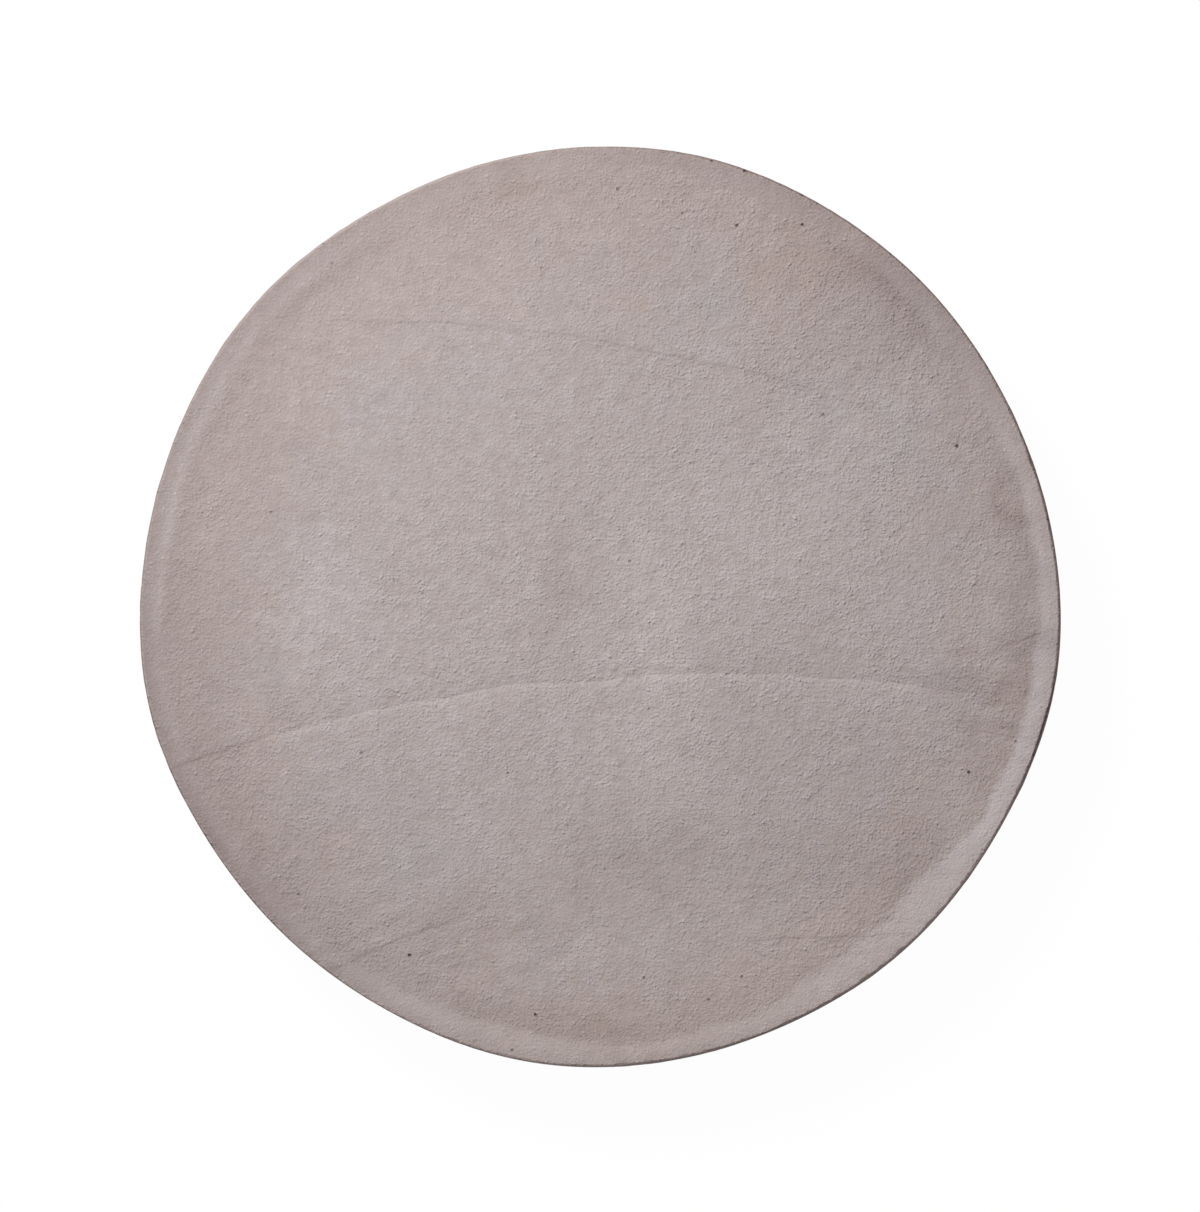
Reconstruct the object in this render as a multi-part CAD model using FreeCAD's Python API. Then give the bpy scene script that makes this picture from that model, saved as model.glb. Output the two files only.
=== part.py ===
"""Round garden stepping stone, cast in one piece of sand-textured concrete.

The stone lies on its bed face at z = 0 with +Z up, and the origin is under the middle of its outline.
The wall leans in from the bed to the walking face, so that the cast stone slips out of its mould. The
outline was formed by hand: nearly a circle, with slow swells and flats. A narrow edge band runs round
the walking face and stands a little above the field inside it.
"""

import FreeCAD
import Part

import math
import os

# Driving dimensions, in millimetres and degrees
MEAN_DIAMETER = 398.4     # widest outline, averaged over all bearings
THICKNESS = 40.0          # bed face to the crest of the edge band
WALL_DRAFT = 4.0          # lean of the wall from upright
BED_ARRIS_RADIUS = 2.0    # rounding between the bed face and the wall
FACE_ARRIS_RADIUS = 1.2   # rounding between the wall and the edge band
BAND_CREST_WIDTH = 2.5    # level part of the edge band, beside the face arris
BAND_SLOPE_WIDTH = 6.0    # part of the edge band that slopes down to the field
BAND_RISE = 0.3           # crest of the edge band above the field

# Hand-formed outline, for each number of swells that go round the stone: how far a swell stands out of
# the mean circle, and the bearing of one of them in degrees, anticlockwise from +X
SWELL_HEIGHTS = {2: 0.17, 3: 0.30, 4: 0.75, 5: 0.47, 6: 0.36, 7: 0.33, 8: 0.21, 9: 0.21, 12: 0.15}
SWELL_BEARINGS = {2: 127.0, 3: 74.0, 4: 86.0, 5: 59.0, 6: 14.0, 7: 42.5, 8: 43.5, 9: 30.0, 12: 15.5}
ARCS_PER_SWELL = 3        # outline arcs along each of the closest swells

UP = FreeCAD.Vector(0, 0, 1)
INWARD = FreeCAD.Vector(-1, 0, 0)


def toward(bearing, distance):
    """Level vector of a given length, at a bearing in degrees."""
    return FreeCAD.Rotation(UP, bearing).multVec(INWARD * -distance)


def arris_point(middle, radius, rise):
    """Point of a rounded arris where it faces outward and a number of degrees upward."""
    angle = math.radians(rise)
    return middle + UP * (radius * math.sin(angle)) - INWARD * (radius * math.cos(angle))


def arris(middle, radius, first_rise, last_rise):
    """Arc of a rounded arris in the section."""
    rises = (first_rise, (first_rise + last_rise) / 2, last_rise)
    return Part.Arc(*(arris_point(middle, radius, rise) for rise in rises)).toShape()


def edge_section():
    """Wire over the edge of the stone, from the bed face up the wall and in to the field.

    It lies in the XZ plane with the widest outline at x = 0 and the stone on the -X side. The wall is
    tangent to both arrises, and that sets how far the middle of the upper one lies inward.
    """
    wall_height = THICKNESS - BED_ARRIS_RADIUS - FACE_ARRIS_RADIUS
    draft = math.radians(WALL_DRAFT)
    lean = wall_height * math.tan(draft) + (FACE_ARRIS_RADIUS - BED_ARRIS_RADIUS) / math.cos(draft)
    bed_middle = (INWARD + UP) * BED_ARRIS_RADIUS
    face_middle = bed_middle + INWARD * lean + UP * wall_height

    wall_foot = arris_point(bed_middle, BED_ARRIS_RADIUS, WALL_DRAFT)
    wall_head = arris_point(face_middle, FACE_ARRIS_RADIUS, WALL_DRAFT)
    crest_outer = arris_point(face_middle, FACE_ARRIS_RADIUS, 90)
    crest_inner = crest_outer + INWARD * BAND_CREST_WIDTH
    field_edge = crest_inner + INWARD * BAND_SLOPE_WIDTH - UP * BAND_RISE
    return Part.Wire([
        arris(bed_middle, BED_ARRIS_RADIUS, -90, WALL_DRAFT),
        Part.makeLine(wall_foot, wall_head),
        arris(face_middle, FACE_ARRIS_RADIUS, WALL_DRAFT, 90),
        Part.makeLine(crest_outer, crest_inner),
        Part.makeLine(crest_inner, field_edge),
    ])


def bend_radius(bearing):
    """Radius of the outline's bend where it faces a bearing in degrees.

    A swell that comes n times round the stone changes the bend by n * n - 1 times its own height.
    """
    change = sum(
        (count * count - 1) * height * math.cos(math.radians(count * (bearing - SWELL_BEARINGS[count])))
        for count, height in SWELL_HEIGHTS.items()
    )
    return MEAN_DIAMETER / 2 - change


def edge_faces():
    """Faces of the whole edge: the section turned along arcs that run on tangent to one another."""
    arcs = ARCS_PER_SWELL * max(SWELL_HEIGHTS)
    turn = 360 / arcs
    faces = []
    start = toward(0, MEAN_DIAMETER / 2)
    for step in range(arcs):
        bearing = step * turn
        radius = bend_radius(bearing + turn / 2)
        centre = start - toward(bearing, radius)
        section = edge_section()
        section.Placement = FreeCAD.Placement(start, FreeCAD.Rotation(UP, bearing))
        faces += section.revolve(centre, UP, turn).Faces
        start = centre + toward(bearing + turn, radius)
    return faces


def level_face(faces, z):
    """Flat face that closes the ring of face edges lying at height z."""
    tolerance = 1e-6
    rim = [
        edge
        for face in faces
        for edge in face.Edges
        if all(abs(vertex.Z - z) < tolerance for vertex in edge.Vertexes)
    ]
    return Part.Face(Part.Wire(Part.sortEdges(rim)[0]))


def stepping_stone():
    """The finished stone, moved so that its overall box is centred over the origin."""
    faces = edge_faces()
    bed_face = level_face(faces, 0)
    field = level_face(faces, THICKNESS - BAND_RISE)
    skin = Part.Shell([*faces, bed_face, field])
    skin.sewShape()
    stone = Part.Solid(skin)
    middle = stone.optimalBoundingBox(False).Center
    stone.translate(FreeCAD.Vector(-middle.x, -middle.y, 0))
    return stone


if __name__ == "__main__":
    os.makedirs("parts", exist_ok=True)
    stepping_stone().exportStep("parts/stepping_stone.step")
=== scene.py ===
import math

import bpy
import numpy as np
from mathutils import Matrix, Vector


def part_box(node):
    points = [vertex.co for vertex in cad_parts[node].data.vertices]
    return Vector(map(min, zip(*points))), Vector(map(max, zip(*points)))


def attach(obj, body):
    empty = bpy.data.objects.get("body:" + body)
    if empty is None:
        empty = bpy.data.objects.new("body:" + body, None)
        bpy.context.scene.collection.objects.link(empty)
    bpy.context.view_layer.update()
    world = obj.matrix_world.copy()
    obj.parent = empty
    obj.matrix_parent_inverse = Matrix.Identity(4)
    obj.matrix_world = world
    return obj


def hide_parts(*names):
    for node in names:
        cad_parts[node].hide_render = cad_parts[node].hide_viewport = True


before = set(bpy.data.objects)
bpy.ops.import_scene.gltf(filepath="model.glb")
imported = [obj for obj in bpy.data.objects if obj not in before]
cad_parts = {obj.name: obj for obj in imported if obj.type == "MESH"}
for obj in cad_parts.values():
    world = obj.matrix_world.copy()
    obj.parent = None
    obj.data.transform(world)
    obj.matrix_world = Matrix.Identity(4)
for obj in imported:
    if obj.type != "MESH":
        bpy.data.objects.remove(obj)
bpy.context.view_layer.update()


# Stepping stone
# One slab of sand and cement, cast on a level bed in a round mould that was bent by hand, and floated
# smooth from above while it was wet. Its face is walked on, its wall leans in, and its bed lies on soil.

MM = 0.001
COLUMNS = 720                   # bearings round the stone
FIELD_ROWS = 80                 # rings from the middle of the face to the edge band
BAND_ROWS = 14
ARRIS_ROWS = 7
WALL_ROWS = 16
BED_ROWS = 10                   # rings from the bed arris to the middle of the bed
OUTLINE_WAVES = 16              # most swells round the outline that the mould's bends hold

WALL_DRAFT = math.radians(4.0)  # lean of the wall from upright
BED_ARRIS = 2.0 * MM            # radius between the bed and the wall
FACE_ARRIS = 1.2 * MM           # radius between the wall and the edge band
BAND_CREST = 2.5 * MM           # level part of the edge band
BAND_SLOPE = 6.0 * MM           # part of the edge band that slopes down to the field
BAND_RISE = 0.3 * MM            # crest of the edge band above the field
BAND_WANDER = 1.0 * MM          # how far the band's inner edge strays
BAND_STEADY = ((155, 35, 0.6),)  # where it strays less: bearing, reach in degrees and how much less
ARRIS_WEAR = 0.12 * MM          # depth to which feet and weather wore the face arris
WEAR_SLANT = 0.7                # share of a depth of wear that goes inwards, and that goes down
FLOAT_SWELL = 0.06 * MM         # height of the long swells that the float left
FLOAT_RIPPLE = 0.045 * MM       # height of its short ones
WALL_SWELL = 0.10 * MM          # height of the bulges in the mould's sheet
WALL_INSET = 0.15 * MM          # how far the wall stands back, so that no bulge passes the outline

stone_low, stone_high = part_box("stepping_stone")
thickness = stone_high.z - stone_low.z
wall_foot = BED_ARRIS * (1 + math.sin(WALL_DRAFT))
bearings = np.linspace(0, 2 * np.pi, COLUMNS, endpoint=False)


def cast_outline(node, height):
    """Radius of the cast outline at each bearing: the model's own ring of points at one height, put on
    even bearings and smoothed by keeping only its slow waves."""
    points = np.empty(3 * len(node.data.vertices))
    node.data.vertices.foreach_get("co", points)
    points = points.reshape(-1, 3)
    near = 0.01 * MM
    ring = points[np.abs(points[:, 2] - height) < near]
    radii = np.interp(bearings, np.arctan2(ring[:, 1], ring[:, 0]) % (2 * np.pi),
                      np.hypot(ring[:, 0], ring[:, 1]), period=2 * np.pi)
    waves = np.fft.rfft(radii)
    waves[OUTLINE_WAVES + 1:] = 0
    return np.fft.irfft(waves, COLUMNS)


RIPPLE_WAVES = 48               # plane waves in one field of ripples


def ripples(x, y, shortest, longest, seed):
    """Even roughness of standard deviation 1: a sum of plane waves of random heading and phase, with
    wavelengths between the two given ones."""
    dice = np.random.default_rng(seed)
    heading, phase = dice.uniform(0, 2 * np.pi, (2, RIPPLE_WAVES))
    pitch = 2 * np.pi / dice.uniform(shortest, longest, RIPPLE_WAVES)
    across = np.cos(heading) * x[..., None] + np.sin(heading) * y[..., None]
    return np.cos(pitch * across + phase).sum(-1) / math.sqrt(RIPPLE_WAVES / 2)


def smooth_step(start, end, value):
    """0 before start, 1 after end, and an S-curve between them; start may be the larger one."""
    t = np.clip((value - start) / (end - start), 0, 1)
    return t * t * (3 - 2 * t)


def bell(offset, reach):
    """Bell curve, 1 at no offset and 0.6 at one reach."""
    return np.exp(-0.5 * (offset / reach) ** 2)


def turned(bearing):
    """How far each column lies from a bearing, both in degrees, the short way round."""
    return (np.degrees(bearings) - bearing + 180) % 360 - 180


def round_edge(places):
    """Sum of bells round the edge: an amount that is full at a bearing and fades over a reach in degrees."""
    return sum(amount * bell(turned(bearing), reach) for bearing, reach, amount in places)


# Two tongues of the band reach further in: bearing, reach in degrees and length
BAND_TONGUES = ((255, 8, 4.5 * MM), (313, 10, 7.0 * MM))
# Chips off the face arris: bearing, length along the edge and depth
ARRIS_CHIPS = (
    (18.7, 4.0 * MM, 0.6 * MM),
    (71.0, 3.0 * MM, 0.4 * MM),
    (77.0, 3.0 * MM, 0.4 * MM),
    (305.9, 3.0 * MM, 0.5 * MM),
    (311.0, 3.0 * MM, 0.6 * MM),
    (316.3, 2.5 * MM, 0.6 * MM),
    (345.0, 9.0 * MM, 0.5 * MM),
)

outline = cast_outline(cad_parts["stepping_stone"], wall_foot)
edge_x = outline * np.cos(bearings)
edge_y = outline * np.sin(bearings)
lean = (thickness - BED_ARRIS - FACE_ARRIS) * math.tan(WALL_DRAFT)
lean += (FACE_ARRIS - BED_ARRIS) / math.cos(WALL_DRAFT)
crest_outer = BED_ARRIS + lean                      # inset of the band's outer line from the outline
crest_inner = crest_outer + BAND_CREST
band_wander = BAND_WANDER * (1 - round_edge(BAND_STEADY))
field_edge = crest_inner + BAND_SLOPE + band_wander * ripples(edge_x, edge_y, 18 * MM, 80 * MM, 11)
field_edge = field_edge + round_edge(BAND_TONGUES)  # inset of the band's inner edge
arris_wear = ARRIS_WEAR * np.abs(ripples(edge_x, edge_y, 10 * MM, 40 * MM, 12))
for chip_bearing, length, depth in ARRIS_CHIPS:
    arris_wear = arris_wear + depth * bell(np.radians(turned(chip_bearing)) * outline, length / 2)


def stone_section():
    """Inset from the outline, height, and share of arris wear, row by row and bearing by bearing.

    The section runs from the middle of the face over the edge band, the face arris, the wall and the bed
    arris to the middle of the bed: straight runs, an S-curve for the band and quarter circles. Wear is full
    half-way round the face arris, and runs out over the band's outer quarter and the wall's top fifth.
    """
    flat = np.ones(COLUMNS)
    even = np.linspace(0, 1, FIELD_ROWS + 1)[1:, None]
    crowding = 0.35                                 # how much closer the rings lie towards the band
    field = (1 + crowding) * even - crowding * even ** 2
    band = np.linspace(0, 1, BAND_ROWS + 1)[1:, None]
    turn = np.linspace(math.pi / 2, WALL_DRAFT, ARRIS_ROWS + 1)[1:, None]
    wall = np.linspace(1, 0, WALL_ROWS + 1)[1:, None]
    under = np.linspace(WALL_DRAFT, -math.pi / 2, ARRIS_ROWS + 1)[1:, None]
    bed = np.linspace(1, 0, BED_ROWS + 1)[1:-1, None]

    foot_inset = BED_ARRIS * (1 - math.cos(WALL_DRAFT))
    head_inset = crest_outer - FACE_ARRIS * math.cos(WALL_DRAFT)
    head_height = thickness - FACE_ARRIS * (1 - math.sin(WALL_DRAFT))
    field_height = thickness - BAND_RISE
    slope_share = (field_edge - crest_inner) / (field_edge - crest_outer)
    inset = [
        outline - field * (outline - field_edge),
        field_edge + band * (crest_outer - field_edge),
        (crest_outer - FACE_ARRIS * np.cos(turn)) * flat,
        (foot_inset + wall * (head_inset - foot_inset)) * flat,
        BED_ARRIS * (1 - np.cos(under)) * flat,
        outline - bed * (outline - BED_ARRIS),
    ]
    height = [
        field_height + 0 * field * flat,
        field_height + BAND_RISE * smooth_step(0, slope_share, band * flat),
        (thickness - FACE_ARRIS * (1 - np.sin(turn))) * flat,
        (wall_foot + wall * (head_height - wall_foot)) * flat,
        BED_ARRIS * (1 + np.sin(under)) * flat,
        0 * bed * flat,
    ]
    wear = [
        0 * field * flat,
        0.6 * smooth_step(0.75, 1, band) * flat,
        np.cos(turn - math.pi / 4) * flat,
        0.7 * smooth_step(0.8, 1, wall) * flat,
        0 * under * flat,
        0 * bed * flat,
    ]
    return np.vstack(inset), np.vstack(height), np.vstack(wear)


inset, height, wear = stone_section()
rows = len(height)
face_rows = FIELD_ROWS + BAND_ROWS
wall_rows = slice(face_rows + ARRIS_ROWS, face_rows + ARRIS_ROWS + WALL_ROWS)
worn = WEAR_SLANT * wear * arris_wear
reach = outline - inset - worn
x = reach * np.cos(bearings)
y = reach * np.sin(bearings)
z = height - worn
inward = inset - field_edge                         # how far inside the band's inner edge

# Hollows and lumps left by the float, and the mould's own unevenness on the wall
on_field = smooth_step(0, 12 * MM, inward)
on_field[face_rows:] = 0
z += on_field * FLOAT_SWELL * ripples(x, y, 30 * MM, 110 * MM, 21)
z += on_field * FLOAT_RIPPLE * ripples(x, y, 8 * MM, 18 * MM, 23)
z = np.minimum(z, thickness)
wall_swell = WALL_SWELL * ripples(edge_x + 3 * height[wall_rows], edge_y - 2 * height[wall_rows],
                                  10 * MM, 45 * MM, 22) - WALL_INSET
x[wall_rows] += wall_swell * np.cos(bearings)
y[wall_rows] += wall_swell * np.sin(bearings)


def linear(red, green, blue):
    """Linear light of a colour that is written in screen levels from 0 to 255."""
    level = np.array([red, green, blue]) / 255
    return np.where(level <= 0.04045, level / 12.92, ((level + 0.055) / 1.055) ** 2.4)


# Colours of the dried cement: grey where the float closed the face, browner where sand shows
PASTE_GREY = linear(172.3, 161.1, 159.9)
SAND_BROWN = linear(174.8, 160.5, 156.3)
HOLLOW_RED = (0.04, 0.0, 0.0)   # what is left of the colour where the tone is lowest: in painted shade of hollows, and in stains
# Grey paste fills the middle of the face and gives way between two distances from its own middle, along a
# line that frays by a wide and a narrow wander
GREY_MIDDLE = (5 * MM, -5 * MM)
GREY_REACH = (130 * MM, 166 * MM)
GREY_FRAY = (8 * MM, 4 * MM)
MOST_BROWN = 1.35               # as brown as the sand gets, where 1 is its plain colour
CLOUD_TONE = 0.008              # strength of the wide clouds in which the paste dried
MOTTLE_TONE = 0.011             # strength of the small ones
# Patches where more or less sand shows: place and reach along X and Y in millimetres, and amount
SAND_PATCHES = (
    (9, -182, 14, 9, 0.5),
    (-19, 11, 10, 15, 0.3),
    (78, 135, 8, 18, 0.5),
    (-43, 187, 8, 5, 0.3),
    (-80, 60, 50, 40, 0.15),
    (-100, -140, 36, 30, -0.7),
    (175, 20, 25, 60, -0.5),
    (48, 140, 10, 26, -0.6),
    (-119, 3, 14, 20, -0.3),
    (-75, 115, 30, 22, -0.3),
    (-10, 132, 15, 15, 0.4),
    (62, 112, 18, 20, 0.45),
    (124, 108, 24, 20, -0.4),
    (120, 115, 40, 40, -0.25),
    (106, 152, 16, 10, 0.4),
    (-158, -40, 16, 30, -0.4),
    (-165, 10, 14, 30, -0.15),
    (8, -122, 40, 20, 0.25),
    (-118, 88, 24, 22, -0.3),
    (179, 45, 7, 10, 0.4),
    (160, -42, 14, 8, 0.35),
    (142, -84, 14, 14, -0.4),
)
# Where the paste dried pale, in the same way
PALE_PATCHES = (
    (-119, 3, 14, 20, 0.11),
    (-85, 75, 42, 55, 0.05),
    (-30, 80, 22, 40, 0.02),
    (22, -26, 16, 38, 0.12),
    (40, 8, 26, 20, 0.03),
    (85, 44, 24, 24, 0.05),
    (-55, -38, 34, 36, 0.05),
    (-17, -156, 18, 9, 0.07),
    (121, 86, 14, 14, 0.07),
    (50, 165, 22, 14, 0.02),
    (-130, -40, 9, 40, 0.04),
    (52, 38, 34, 22, 0.045),
    (160, -84, 8, 9, 0.06),
    (84, -150, 10, 14, 0.05),
)
# Where water and grime stained it, in the same way
STAINS = (
    (-19, 11, 8, 15, -0.11),
    (130, 148, 16, 13, -0.09),
    (96, 148, 26, 14, -0.07),
    (110, 114, 30, 24, -0.065),
    (139, 122, 12, 10, -0.06),
    (178, 44, 7, 10, -0.18),
    (183, -15, 8, 16, -0.13),
    (184, 16, 8, 12, -0.08),
    (166, -32, 20, 4, -0.09),
    (-182, 0, 8, 12, -0.05),
    (180, -16, 8, 4, -0.10),
    (170, -60, 12, 16, -0.08),
    (174, -38, 10, 3, -0.09),
    (172, -55, 9, 4, -0.08),
    (152, 62, 20, 26, -0.05),
    (110, -72, 30, 14, -0.06),
    (138, -112, 14, 12, -0.08),
    (90, -108, 30, 12, -0.08),
    (18, -104, 24, 10, -0.12),
    (0, -181, 12, 9, -0.10),
    (-44, -172, 16, 6, -0.05),
    (-152, -110, 15, 18, -0.09),
    (-165, -35, 14, 30, -0.05),
    (-70, -139, 34, 9, -0.08),
    (-43, 187, 6, 5, -0.08),
    (70, -25, 18, 6, -0.04),
    (-140, 50, 14, 26, -0.05),
    (20, 150, 16, 16, -0.05),
    (-58, -62, 10, 10, -0.04),
    (-140, -60, 12, 12, -0.04),
    (0, -120, 30, 12, -0.045),
    (-108, -100, 24, 22, -0.035),
)
# Where the float dragged over drying paste and left streaks: place and reach along X and Y in millimetres,
# heading in degrees and strength
DRAG_MARKS = ((166, -46, 22, 22, -5, 0.035), (-70, -140, 50, 24, 20, 0.03))
DRAG_STRETCH = 0.12             # width of a streak over its length
# Where the edge band is paler or duller than the field: partly its own tone and partly painted light and
# shade on its inner slope, palest at the lower right where that slope faces the lamp; bearing, reach in
# degrees and amount
BAND_LIGHT_AND_TONES = ((336, 20, 0.20), (275, 20, 0.02), (15, 8, 0.04), (34, 8, -0.10),
              (70, 14, -0.14), (140, 35, -0.06), (187, 5, -0.05), (207, 18, -0.11), (226, 9, -0.07))
# Where the band is duller towards the arris, and where it is greyer, each beside an amount all round
DULL_TONES = ((165, 45, 0.09), (315, 10, -0.06))
DULL_ALL_ROUND = 0.07
GREY_TONES = ((165, 30, 0.35),)
GREY_ALL_ROUND = 0.2
GREY_WITH_PALE = 4              # how much greyer the band is where it is paler
PALE_ALL_ROUND = 0.01
# Where a line of painted light runs along the band's inner edge, on the lamp's side, in the same way
LIP_HIGHLIGHTS = ((162, 24, 0.10),)
# Where grime reaches in from the edge, in the same way
GRIME_TONES = ((55, 18, 0.03), (205, 20, 0.06))
GRIME_ALL_ROUND = 0.04
# Where it lies in a line along the foot of the edge band, in the same way
FOOT_TONES = ((47, 6.5, 0.09), (133, 6, 0.07), (160, 28, 0.05), (260, 12, 0.06))
BAND_FOOT = 3 * MM              # how far inside the band's inner edge its foot gathers grime
# Where soil darkens the edge or leaves it paler, and where painted shade darkens it on the side away from
# the lamp, from about 290 to 15 degrees: bearing, reach in degrees, and amount on arris and wall
SOIL_AND_SHADE_TONES = (
    (346, 7, -0.62, -0.25),
    (294, 14, -0.30, -0.25),
    (316, 9, 0.10, -0.15),
    (333, 8, -0.12, -0.15),
    (8, 14, -0.18, -0.15),
    (15, 6, -0.20, -0.10),
    (50, 22, -0.30, -0.10),
    (80, 15, -0.20, -0.10),
    (160, 22, -0.18, -0.10),
    (205, 20, -0.28, -0.10),
    (241, 7, 0.25, 0.20),
)
ARRIS_TONE = -0.06              # dullness of the arris all round
WALL_TONE = -0.2                # dullness of the wall and the bed
SOIL_BROWN = 1.2
WALL_FOOT_DARKENING = 0.10              # how much darker the wall is towards its foot
WALL_FOOT_DARKENING_HEIGHT = 16 * MM
WALL_STREAKS = 0.05             # strength of the upright streaks on the wall
PATCH_STRAY = 5 * MM            # how far the edge of a patch strays


def patches(spots):
    """Sum of soft patches: a bell along X times a bell along Y, times an amount. The place that is asked
    for is shifted by slow ripples, so that the patches come out ragged."""
    shift_x = x + PATCH_STRAY * ripples(x, y, 14 * MM, 50 * MM, 35)
    shift_y = y + PATCH_STRAY * ripples(x, y, 14 * MM, 50 * MM, 36)
    return sum(amount * bell(shift_x - at_x * MM, reach_x * MM) * bell(shift_y - at_y * MM, reach_y * MM)
               for at_x, at_y, reach_x, reach_y, amount in spots)


# Tone of the face: its patches, the clouds in which it dried, which are longer along Y, and drag streaks
lightness = patches(PALE_PATCHES) + patches(STAINS)
lightness += CLOUD_TONE * ripples(x, 0.4 * y, 12 * MM, 45 * MM, 31)
lightness += MOTTLE_TONE * ripples(x, y, 7 * MM, 18 * MM, 32)
for drag_x, drag_y, reach_x, reach_y, heading, strength in DRAG_MARKS:
    along = x * math.cos(math.radians(heading)) + y * math.sin(math.radians(heading))
    across = y * math.cos(math.radians(heading)) - x * math.sin(math.radians(heading))
    streaks = ripples(DRAG_STRETCH * along, across, 4 * MM, 9 * MM, 38)
    streaks *= bell(x - drag_x * MM, reach_x * MM) * bell(y - drag_y * MM, reach_y * MM)
    lightness += strength * streaks
from_middle = np.hypot(x - GREY_MIDDLE[0], y - GREY_MIDDLE[1])
from_middle += GREY_FRAY[0] * ripples(x, y, 35 * MM, 110 * MM, 33)
from_middle += GREY_FRAY[1] * ripples(x, y, 9 * MM, 30 * MM, 37)
brownness = np.minimum(smooth_step(*GREY_REACH, from_middle) + patches(SAND_PATCHES), MOST_BROWN)

# Grime gathers along the foot of the edge band, and the band itself is free of it. The band is duller
# towards the arris, it is greyer on the left, and a line of painted light runs along its inner edge there
grime = GRIME_ALL_ROUND * (smooth_step(55 * MM, 0, inward) + bell(inward - BAND_FOOT, 7 * MM))
lightness -= smooth_step(70 * MM, 0, inward) * round_edge(GRIME_TONES)
lightness -= grime
lightness += round_edge(LIP_HIGHLIGHTS) * bell(inward + 1.9 * MM, 1.5 * MM)
lightness -= round_edge(FOOT_TONES) * bell(inward - BAND_FOOT, 3.3 * MM)
band_dull = (DULL_ALL_ROUND + round_edge(DULL_TONES)) * smooth_step(10 * MM, 3.5 * MM, inset)
# The band's tone by bearing is partly painted light and shade on its inner slope
band_tone = grime + PALE_ALL_ROUND - band_dull + round_edge(BAND_LIGHT_AND_TONES)
band_grey = GREY_ALL_ROUND + GREY_WITH_PALE * np.maximum(round_edge(BAND_LIGHT_AND_TONES), 0) + round_edge(GREY_TONES)

# The arris, the wall and the bed are duller and browner than the face. Soil darkens the arris and wall at
# some bearings and leaves them paler at others, and on the side away from the lamp painted shade darkens
# them; on the arris both grow towards its lower rows. The wall is also darker towards its foot
arris_rows = slice(face_rows, face_rows + ARRIS_ROWS)
lightness[face_rows:] = WALL_TONE
lightness[arris_rows] = ARRIS_TONE
brownness[face_rows:] = SOIL_BROWN
down_arris = 1.15 * smooth_step(-1, 2.5, np.arange(ARRIS_ROWS))[:, None]
for tone_bearing, tone_reach, on_arris, on_wall in SOIL_AND_SHADE_TONES:
    lightness[arris_rows] += on_arris * bell(turned(tone_bearing), tone_reach) * down_arris
    lightness[wall_rows] += on_wall * bell(turned(tone_bearing), tone_reach)
lightness[wall_rows] -= WALL_FOOT_DARKENING * smooth_step(WALL_FOOT_DARKENING_HEIGHT, 0, height[wall_rows])
lightness[wall_rows] += WALL_STREAKS * ripples(edge_x, edge_y, 8 * MM, 40 * MM, 39)

# 1 on the face that was floated, 0 on the wall and bed that the mould shaped
floated = np.zeros((rows, COLUMNS))
floated[:face_rows] = 1

# Height of the sand grain over the surface: the float closed the face in some places and tore it in others
GRAIN_PATCHES = (
    (-110, 110, 60, 60, -0.36),
    (0, 130, 50, 36, -0.12),
    (0, -140, 60, 36, -0.14),
    (-150, 0, 30, 50, -0.14),
    (20, 0, 60, 50, 0.10),
    (125, -30, 36, 60, 0.14),
    (110, 110, 55, 55, 0.19),
    (100, -120, 45, 40, 0.14),
)
GRAIN_VARIES = 0.08             # how much the height changes from place to place beside those patches
BAND_CLOSED = 0.35              # how much lower the grain is on the edge band
sandiness = 1.0 + patches(GRAIN_PATCHES)
sandiness *= 1 + GRAIN_VARIES * ripples(x, y, 14 * MM, 50 * MM, 34)
sandiness *= 1 - BAND_CLOSED * smooth_step(2 * MM, -2 * MM, inward) * floated

# Laps of the float and its scratches: middle and radius of the arc, its ends along X in millimetres, and
# how strongly it shows
FLOAT_LAPS = ((52, -744, 715, -143, 165, 1.0),)
SCRATCHES = (
    (-117, -615, 738, -110, 95, 0.8),
    (-117, -615, 738, 95, 160, 0.5),
    (52, -744, 715, -182, -143, 1.2),
    (52, -744, 721, 112, 180, 0.5),
    (52, -744, 714, 140, 184, 0.7),
    (52, -744, 700, 140, 186, 0.4),
    (338, -382, 400, 172, 192, 1.0),
    (158, -769, 672, -118, -60, 1.0),
    (85, -579, 450, -78, -56, 1.0),
    (164, -1640, 1500, 66, 136, 0.9),
)
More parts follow.
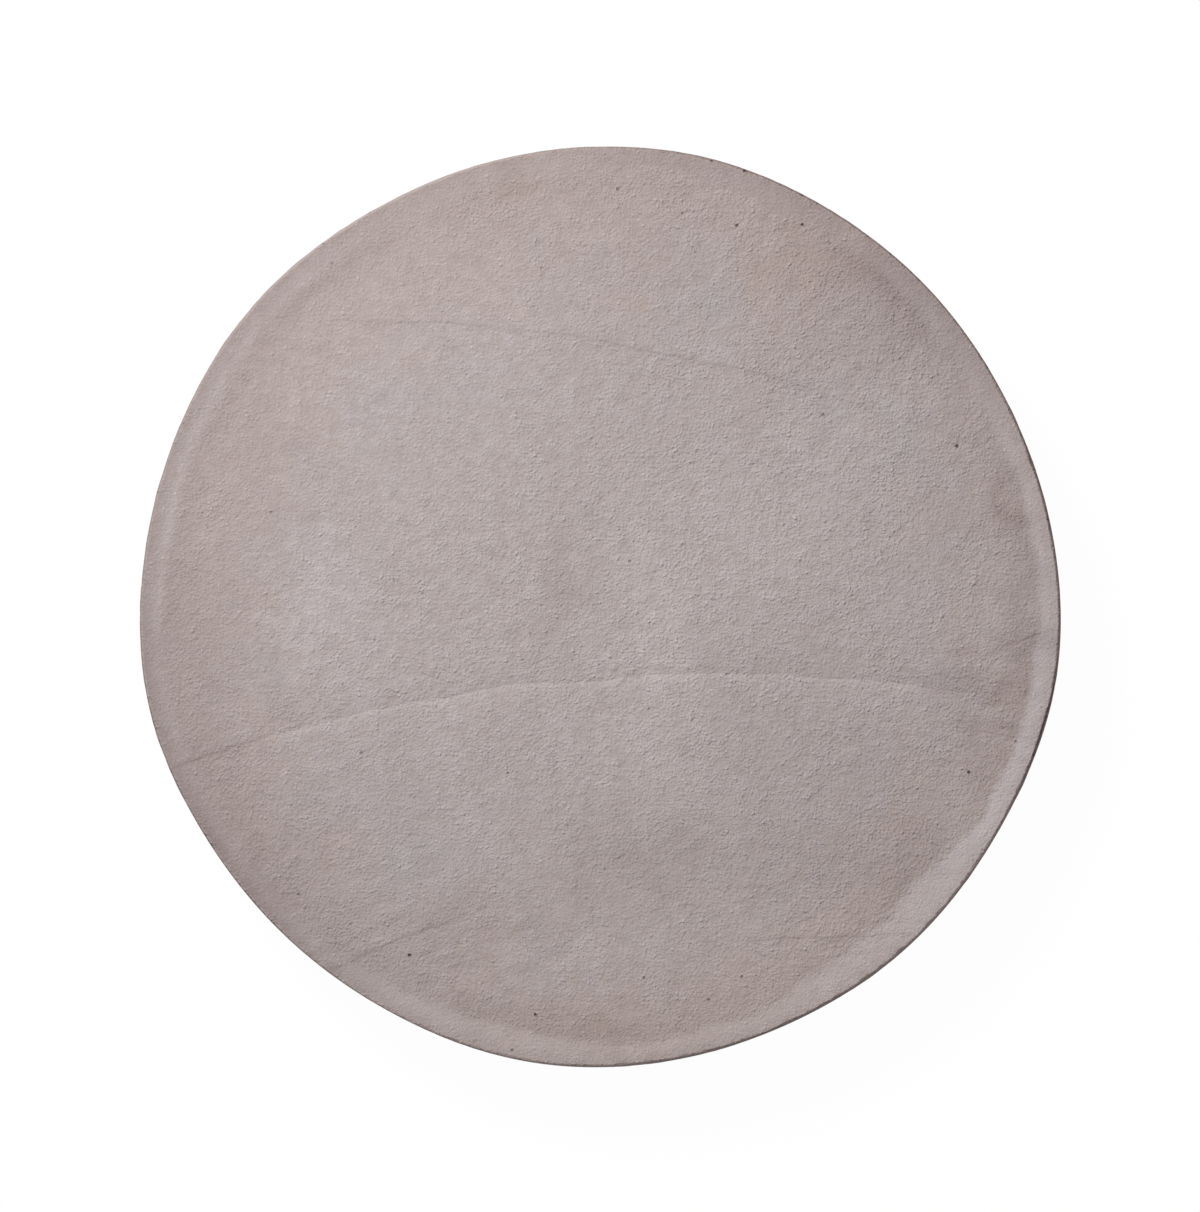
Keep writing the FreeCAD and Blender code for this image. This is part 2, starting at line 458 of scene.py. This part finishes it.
# Air holes: place and radius in millimetres, and how deep they are and how dark with painted shade; the
# last three, on the arris, are dark spots of dirt
AIR_HOLES = (
    (-81.6, -149.6, 0.95, 1.0), (158.3, -71.0, 0.85, 0.9), (-27.6, -175.0, 0.85, 1.0),
    (153.1, 68.8, 0.95, 0.9), (7.6, 179.1, 0.8, 0.6), (58.8, 163.5, 0.8, 0.8),
    (86.9, 163.9, 0.8, 0.9), (95.8, 82.3, 0.9, 0.5), (128.8, 106.2, 0.8, 0.4),
    (-140.9, 40.6, 0.8, 0.4), (-102.3, -62.8, 0.9, 0.4), (12.8, 19.3, 0.8, 0.4),
    (-39.3, -71.4, 0.7, 0.5), (-29.7, -11.9, 0.8, 0.3), (-129.2, -123.6, 0.8, 0.4),
    (-37.6, -190.4, 0.8, 0.5), (18.9, -159.2, 0.7, 0.6), (60.8, -158.7, 0.7, 0.6),
    (46.7, -168.7, 0.7, 0.6), (74.0, -92.7, 0.7, 0.3), (121.0, 23.2, 0.8, 0.4),
    (-114.9, 147.0, 0.7, 0.3), (35.4, 168.7, 0.7, 0.4), (178.3, -58.0, 0.8, 0.5),
    (48.0, 191.1, 0.8, 0.5), (62.2, 186.9, 0.9, 0.7), (86.9, 176.7, 0.8, 0.5),
)
LINE_FADE = 8                   # millimetres over which the end of a lap or scratch fades
LAP_LIMIT = 16                  # millimetres beside a lap where it stops showing
SCRATCH_LIMIT = 3               # the same beside a scratch
HOLE_CLEARANCE = 5              # millimetres from an air hole past which none is near
# How far laps and scratches stray from their arcs, in millimetres
waver = 0.4 * ripples(x, y, 30 * MM, 90 * MM, 41) + 0.25 * ripples(x, y, 6 * MM, 16 * MM, 42)


def nearest_line(arcs, limit):
    """Distance in millimetres outside the nearest of some arcs, and how strongly that arc shows, which
    fades at its ends and is nothing at the limit."""
    line = np.zeros((rows, COLUMNS, 2))
    line[..., 0] = limit
    for middle_x, middle_y, radius, start, end, strength in arcs:
        off = np.hypot(x / MM - middle_x, y / MM - middle_y) - radius + waver
        show = smooth_step(start - LINE_FADE, start + LINE_FADE, x / MM)
        show *= smooth_step(end + LINE_FADE, end - LINE_FADE, x / MM)
        show *= strength * smooth_step(limit, 0.7 * limit, np.abs(off)) * floated
        nearer = (show > 0) & (np.abs(off) < np.abs(line[..., 0]))
        line[nearer] = np.stack([off, show], -1)[nearer]
    return line


def nearest_hole():
    """Offset along X and Y from the nearest air hole in its own radii, and that hole's depth. Far from all
    holes the third number grows, so that no blend of two holes' offsets is short."""
    offset = np.zeros((rows, COLUMNS, 3))
    depth = np.zeros((rows, COLUMNS))
    nearest = np.full((rows, COLUMNS), np.inf)
    for at_x, at_y, radius, darkness in AIR_HOLES:
        across = x / MM - at_x
        along = y / MM - at_y
        gap = np.hypot(across, along)
        nearer = gap < nearest
        nearest[nearer] = gap[nearer]
        past = np.maximum(gap - HOLE_CLEARANCE, 0)
        offset[nearer] = np.stack([across, along, past], -1)[nearer] / radius
        depth[nearer] = darkness
    depth[face_rows + ARRIS_ROWS:] = 0
    return offset, depth


def revolved_mesh(name, top, bottom):
    """Closed mesh of rings of points: quads between neighbouring rings and columns, wrapping round, and
    a fan of triangles from the first and last ring to a point in the middle of the top and bottom."""
    points = np.vstack([np.stack([x, y, z], -1).reshape(-1, 3), [top, bottom]])
    here = np.arange(rows * COLUMNS).reshape(rows, COLUMNS)
    beside = np.roll(here, -1, axis=1)
    quads = np.stack([here[:-1], here[1:], beside[1:], beside[:-1]], -1).reshape(-1, 4)
    top_fan = np.stack([np.full(COLUMNS, rows * COLUMNS), here[0], beside[0]], -1)
    bottom_fan = np.stack([np.full(COLUMNS, rows * COLUMNS + 1), beside[-1], here[-1]], -1)
    mesh = bpy.data.meshes.new(name)
    mesh.from_pydata(points.tolist(), [], quads.tolist() + top_fan.tolist() + bottom_fan.tolist())
    mesh.shade_smooth()
    return mesh


def give_attribute(mesh, name, values):
    """Stores one, two or three numbers for each point of the revolved mesh. The two middles get the mean of
    the ring beside them."""
    middles = [values[0].mean(0), values[-1].mean(0)]
    values = np.concatenate([values.reshape(-1, *values.shape[2:]), middles])
    kind = "FLOAT" if values.ndim == 1 else {2: "FLOAT2", 3: "FLOAT_VECTOR"}[values.shape[1]]
    key = "value" if values.ndim == 1 else "vector"
    mesh.attributes.new(name, kind, "POINT").data.foreach_set(key, values.ravel())


# The edge band's three numbers: millimetres inside its inner edge, its tone with its painted light and
# shade, and its greyness
edge_band = np.stack([inward / MM, band_tone * floated, band_grey * floated], -1)
hole_offset, hole_depth = nearest_hole()
stone_mesh = revolved_mesh("stepping_stone_cast", (0, 0, z[0].mean()), (0, 0, 0))
give_attribute(stone_mesh, "lightness", lightness)
give_attribute(stone_mesh, "brownness", brownness)
give_attribute(stone_mesh, "band", edge_band)
give_attribute(stone_mesh, "sandiness", sandiness)
give_attribute(stone_mesh, "floated", floated)
give_attribute(stone_mesh, "lap", nearest_line(FLOAT_LAPS, LAP_LIMIT))
give_attribute(stone_mesh, "scratch", nearest_line(SCRATCHES, SCRATCH_LIMIT))
give_attribute(stone_mesh, "hole", hole_offset)
give_attribute(stone_mesh, "hole_depth", hole_depth)


class Shade:
    """A shader socket to reckon with: every operator on it adds one Math node."""

    def __init__(self, tree, socket=None):
        self.tree = tree
        self.socket = socket

    def node(self, kind, settings=None, sockets=None, output=0):
        """Adds a node of any kind: first its settings, then the values or links of its sockets."""
        made = self.tree.nodes.new("ShaderNode" + kind)
        for name, value in (settings or {}).items():
            setattr(made, name, value)
        for name, value in (sockets or {}).items():
            if isinstance(value, Shade):
                self.tree.links.new(value.socket, made.inputs[name])
            else:
                made.inputs[name].default_value = value
        return Shade(self.tree, made.outputs[output])

    def beside(self, output):
        """Another output of the node that made this."""
        return Shade(self.tree, self.socket.node.outputs[output])

    def math(self, operation, *values):
        """Adds one Math node with the given values or links."""
        return self.node("Math", {"operation": operation}, dict(enumerate(values)))

    def __add__(self, other):
        return self.math("ADD", self, other)

    def __sub__(self, other):
        return self.math("SUBTRACT", self, other)

    def __rsub__(self, other):
        return self.math("SUBTRACT", other, self)

    def __mul__(self, other):
        return self.math("MULTIPLY", self, other)

    __radd__ = __add__
    __rmul__ = __mul__

    def decay(self, width):
        """1 where this is 0 or less, and fading away over a width above it."""
        return self.math("EXPONENT", self.math("MAXIMUM", self, 0.0) * (-1 / width))

    def step(self, start, end):
        """0 at start and 1 at end, with an S-curve between them; start may be the larger one."""
        return self.node("MapRange", {"interpolation_type": "SMOOTHSTEP"},
                         {"Value": self, "From Min": start, "From Max": end})

    def noise(self, size, detail=0.0, roughness=0.5):
        """Cloudy noise from about -1 to 1 whose lumps lie about a given size apart."""
        return self.node("TexNoise", None, {"Vector": self, "Scale": 1 / size, "Detail": detail,
                                            "Roughness": roughness}) * 2 - 1

    def between(self, start, end):
        """The colour that lies this share of the way between two colours, or beyond them past 0 and 1."""
        return self.node("Mix", {"data_type": "RGBA", "clamp_factor": False},
                         {0: self, 6: start, 7: end}, output=2)


SPECKLE = 0.7 * MM              # size of the finest specks of colour
GRAIN = 1.0 * MM                # size of the sand grains
LUMP = 2.1 * MM                 # spacing of grains that stand proud and of pits that others left
CLUMP = 4.2 * MM                # size of a clump of grains
# Heights and widths of the relief, in millimetres
GRAIN_HEIGHT = 0.25
LUMP_HEIGHT = 0.66
CLUMP_HEIGHT = 0.34
LAP_DEPTH = 0.26
LAP_ABOVE = 5.0                 # width over which a lap fades above its line
LAP_BELOW = 3.0                 # the same below it
SCRATCH_DEPTH = 0.05
SCRATCH_WIDTH = 0.6
HOLE_DEPTH = 0.8
PORE_DEPTH = 0.8
CAST_HEIGHT = 0.4               # clumps on the wall and bed, beside those of the face
# How much each of them changes the tone, where 1 is the plain colour. The tone that follows the grain and
# the lumps is painted shade in their hollows and pits and painted light on their tops
PLAIN_TONE = 0.996              # 1, less what the pale grains and painted glints add on the whole
GRAIN_SHADE_TONE = 0.08
SPECKLE_TONE = 0.08
CLUMP_TONE = 0.15
LUMP_SHADE_TONE = 0.15
PALE_GRAIN_AND_GLINT_TONE = 0.10
LAP_PALE_AND_LIT = 0.09                 # just below the lap's line: paler paste and painted light
LAP_DARK_AND_SHADED = 0.05                 # just above it: darker paste and painted shade
SCRATCH_TONE = 0.2
HOLE_SHADE_AND_DIRT = 0.8
PORE_SHADE_TONE = 0.3
ROUGHNESS = 0.88


def cement_material():
    """Dry sand and cement: a colour between grey paste and brown sand at a tone of 1, which goes to a dark
    red at a tone of 0. The tone is a sum of speckles and stains, painted shade in the hollows of the grain
    and in pits, air holes and pores, and painted light and shade beside the float laps and on pale grains
    that also stand in for glints. The relief is a sum of sand grain, lumps and pits, clumps, float laps,
    scratches, air holes and mould pores, in millimetres."""
    material = bpy.data.materials.new("cast_concrete")
    material.use_nodes = True
    tree = material.node_tree
    shader = tree.nodes["Principled BSDF"]

    def attribute(name, output="Fac"):
        return Shade(tree).node("Attribute", {"attribute_name": name}, output=output)

    def part(vector, axis):
        return vector.node("SeparateXYZ", None, {0: vector}, output=axis)

    place = Shade(tree).node("TexCoord", output="Object")
    cast = 1 - attribute("floated")
    grain = place.noise(GRAIN, 1.0, 0.5)
    clumps = place.noise(CLUMP, 2.0, 0.6)
    speckle = place.noise(SPECKLE)

    lap = attribute("lap", "Vector")
    off = part(lap, "X")
    show = part(lap, "Y")
    above = off.decay(LAP_ABOVE) * show
    below = (off * -1).decay(LAP_BELOW) * show
    upper_side = (off + grain * 0.6).step(-0.3, 0.3)

    # Each cell holds a proud grain or a pit, by its random number, and the highest numbers are pale grains,
    # which also stand in for glints of light on the sand
    cells = place.node("TexVoronoi", None, {"Vector": place, "Scale": 1 / LUMP})
    lumps = (cells.beside("Color") - 0.47) * cells.step(0.5, 0.05)
    pale_grains_and_glints = cells.beside("Color").step(0.72, 0.88) * cells.step(0.42, 0.12)
    relief = (grain * GRAIN_HEIGHT + lumps * LUMP_HEIGHT) * (clumps * 0.7 + 1) + clumps * CLUMP_HEIGHT
    relief = relief * attribute("sandiness")
    relief = relief - above * (off * -1).decay(LAP_BELOW) * LAP_DEPTH
    # Tone that follows the grain and the lumps: painted shade where they are low and painted light where
    # they are high
    tone = grain * GRAIN_SHADE_TONE + speckle * SPECKLE_TONE + clumps * CLUMP_TONE
    tone = tone + lumps * LUMP_SHADE_TONE + pale_grains_and_glints * PALE_GRAIN_AND_GLINT_TONE + PLAIN_TONE
    # Paler below the lap's line and darker above it: partly the paste's own tone, partly painted light and
    # shade on the sides of the groove
    tone = tone + (1 - upper_side) * below * LAP_PALE_AND_LIT - upper_side * above * LAP_DARK_AND_SHADED

    scratch = attribute("scratch", "Vector")
    across = part(scratch, "X")
    groove = across.math("ABSOLUTE", across).decay(SCRATCH_WIDTH) * part(scratch, "Y")
    relief = relief - groove * SCRATCH_DEPTH
    tone = tone - groove * SCRATCH_TONE

    # The grain frays the rims of the air holes and, with the clumps, the inner edge of the edge band
    hole = attribute("hole", "Vector")
    hole = hole.node("VectorMath", {"operation": "LENGTH"}, {0: hole}, output="Value") + grain * 0.4
    hole = hole.step(1.0, 0.4) * attribute("hole_depth")
    relief = relief - hole * HOLE_DEPTH
    # The air holes' darker tone is painted shade; on the arris it is dirt
    tone = tone - hole * HOLE_SHADE_AND_DIRT

    pores = clumps.step(0.38, 0.5) * cast
    relief = relief + (clumps * CAST_HEIGHT - pores * PORE_DEPTH) * cast
    # The pores' darker tone is painted shade
    tone = tone - pores * PORE_SHADE_TONE

    band = attribute("band", "Vector")
    on_band = (part(band, "X") + clumps * 3 + grain * 1.5).step(2.2, -2.2)
    tone = tone + attribute("lightness") * (clumps * 0.6 + 1) + on_band * part(band, "Y")
    brown = attribute("brownness") - clumps * 0.5 - on_band * part(band, "Z")
    colour = tone.between((*HOLLOW_RED, 1), brown.between((*PASTE_GREY, 1), (*SAND_BROWN, 1)))
    tree.links.new(colour.socket, shader.inputs["Base Color"])
    roughness = ROUGHNESS + grain * 0.1
    tree.links.new(roughness.socket, shader.inputs["Roughness"])
    bump = place.node("Bump", None, {"Height": relief, "Distance": MM, "Strength": 1.0})
    tree.links.new(bump.socket, shader.inputs["Normal"])
    return material


stone = bpy.data.objects.new("stepping_stone_cast", stone_mesh)
bpy.context.scene.collection.objects.link(stone)
stone_mesh.materials.append(cement_material())
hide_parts("stepping_stone")
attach(stone, "root")


# Floor
# A plain pale sweep round the stone. It shows white to the camera and keeps a faint shadow of the stone. It
# is open under the stone, so that light reaches the bed when that is looked at from below.

FLOOR_REACH = 6.0
FLOOR_LAP = 4 * MM              # how far it reaches in under the stone
FLOOR_GREY = 0.35               # how much light it throws back on the stone
FLOOR_WHITE = 0.92              # share of plain white that it shows
FLOOR_GLOW = 1.06               # strength of that white
FLOOR_GAP = 0.1 * MM            # how far it lies under the bed, so that the two do not meet

floor_mesh = bpy.data.meshes.new("floor")
spokes = np.stack([np.cos(bearings), np.sin(bearings), 0 * bearings], -1)
floor_points = np.vstack([(outline - FLOOR_LAP)[:, None] * spokes, FLOOR_REACH * spokes])
floor_points -= (0, 0, FLOOR_GAP)
inner = np.arange(COLUMNS)
outer = inner + COLUMNS
floor_faces = np.stack([inner, outer, np.roll(outer, -1), np.roll(inner, -1)], -1)
floor_mesh.from_pydata(floor_points.tolist(), [], floor_faces.tolist())
floor = bpy.data.objects.new("floor", floor_mesh)
bpy.context.scene.collection.objects.link(floor)


def seen(shade):
    """1 for what the camera sees, straight or in gloss or glass, and 0 for light on its way."""
    rays = [shade.node("LightPath", output=name)
            for name in ("Is Camera Ray", "Is Glossy Ray", "Is Transmission Ray")]
    return rays[0].math("MAXIMUM", rays[0], rays[1].math("MAXIMUM", rays[1], rays[2]))


def floor_material():
    """Matt grey for light, mixed with plain white for the camera, and clear from below."""
    material = bpy.data.materials.new("pale_floor")
    material.use_nodes = True
    tree = material.node_tree
    tree.nodes.clear()
    shade = Shade(tree)
    matt = shade.node("BsdfDiffuse", None, {"Color": (FLOOR_GREY, FLOOR_GREY, FLOOR_GREY, 1)})
    white = shade.node("Emission", None, {"Color": (1, 1, 1, 1), "Strength": FLOOR_GLOW})
    mixed = shade.node("MixShader", None, {0: seen(shade) * FLOOR_WHITE, 1: matt, 2: white})
    from_below = shade.node("NewGeometry", output="Backfacing")
    mixed = shade.node("MixShader", None, {0: from_below, 1: mixed, 2: shade.node("BsdfTransparent")})
    output = tree.nodes.new("ShaderNodeOutputMaterial")
    tree.links.new(mixed.socket, output.inputs["Surface"])
    return material


floor_mesh.materials.append(floor_material())


# Light and camera
# One broad lamp from the upper left and an even sky, and a long lens above the stone.

SKY = 0.35                      # share of the face's light that comes from all round
LAMP_SHARE = 0.65               # share that comes from the lamp
LAMP_BEARING = math.radians(127)
LAMP_RISE = math.radians(42)
LAMP_DISTANCE = 2.2
LAMP_SIZE = 0.7

PHOTO_HEIGHT = 1212             # pixels
STONE_PIXELS = 921              # pixels that the stone's width takes up
CAMERA_HEIGHT = 3.1
CAMERA_ASIDE = 20 * MM          # how far the camera stands from over the stone's middle
CAMERA_BEARING = math.radians(-30)
ASIDE_X = 0.2 * MM              # where the picture's middle lies on the stone
ASIDE_Y = -0.4 * MM
SENSOR = 36.0                   # millimetres along the picture's height

scene = bpy.context.scene
lamp_data = bpy.data.lights.new("key_lamp", "AREA")
lamp_data.shape = "DISK"
lamp_data.size = LAMP_SIZE
lamp_data.energy = LAMP_SHARE * math.pi ** 2 * LAMP_DISTANCE ** 2 / math.sin(LAMP_RISE)
lamp = bpy.data.objects.new("key_lamp", lamp_data)
lamp.location = (LAMP_DISTANCE * math.cos(LAMP_RISE) * math.cos(LAMP_BEARING),
                 LAMP_DISTANCE * math.cos(LAMP_RISE) * math.sin(LAMP_BEARING),
                 thickness + LAMP_DISTANCE * math.sin(LAMP_RISE))
lamp.rotation_euler = (0, math.pi / 2 - LAMP_RISE, LAMP_BEARING)
scene.collection.objects.link(lamp)

world = bpy.data.worlds.new("sky")
world.use_nodes = True
world_tree = world.node_tree
sky = Shade(world_tree)
strength = SKY + seen(sky) * (1 - SKY)
world_tree.links.new(strength.socket, world_tree.nodes["Background"].inputs["Strength"])
world_tree.nodes["Background"].inputs["Color"].default_value = (1, 1, 1, 1)
scene.world = world

camera_data = bpy.data.cameras.new("camera")
camera_data.sensor_width = SENSOR
picture = PHOTO_HEIGHT / STONE_PIXELS * (stone_high.x - stone_low.x)    # height of the view at the stone
camera_data.lens = SENSOR * (CAMERA_HEIGHT - wall_foot) / picture
camera_x = CAMERA_ASIDE * math.cos(CAMERA_BEARING)
camera_y = CAMERA_ASIDE * math.sin(CAMERA_BEARING)
camera_data.shift_x = -(camera_x + ASIDE_X) / picture
camera_data.shift_y = -(camera_y + ASIDE_Y) / picture
camera = bpy.data.objects.new("camera", camera_data)
camera.location = (camera_x, camera_y, CAMERA_HEIGHT)
scene.collection.objects.link(camera)
scene.camera = camera
scene.view_settings.view_transform = "Standard"
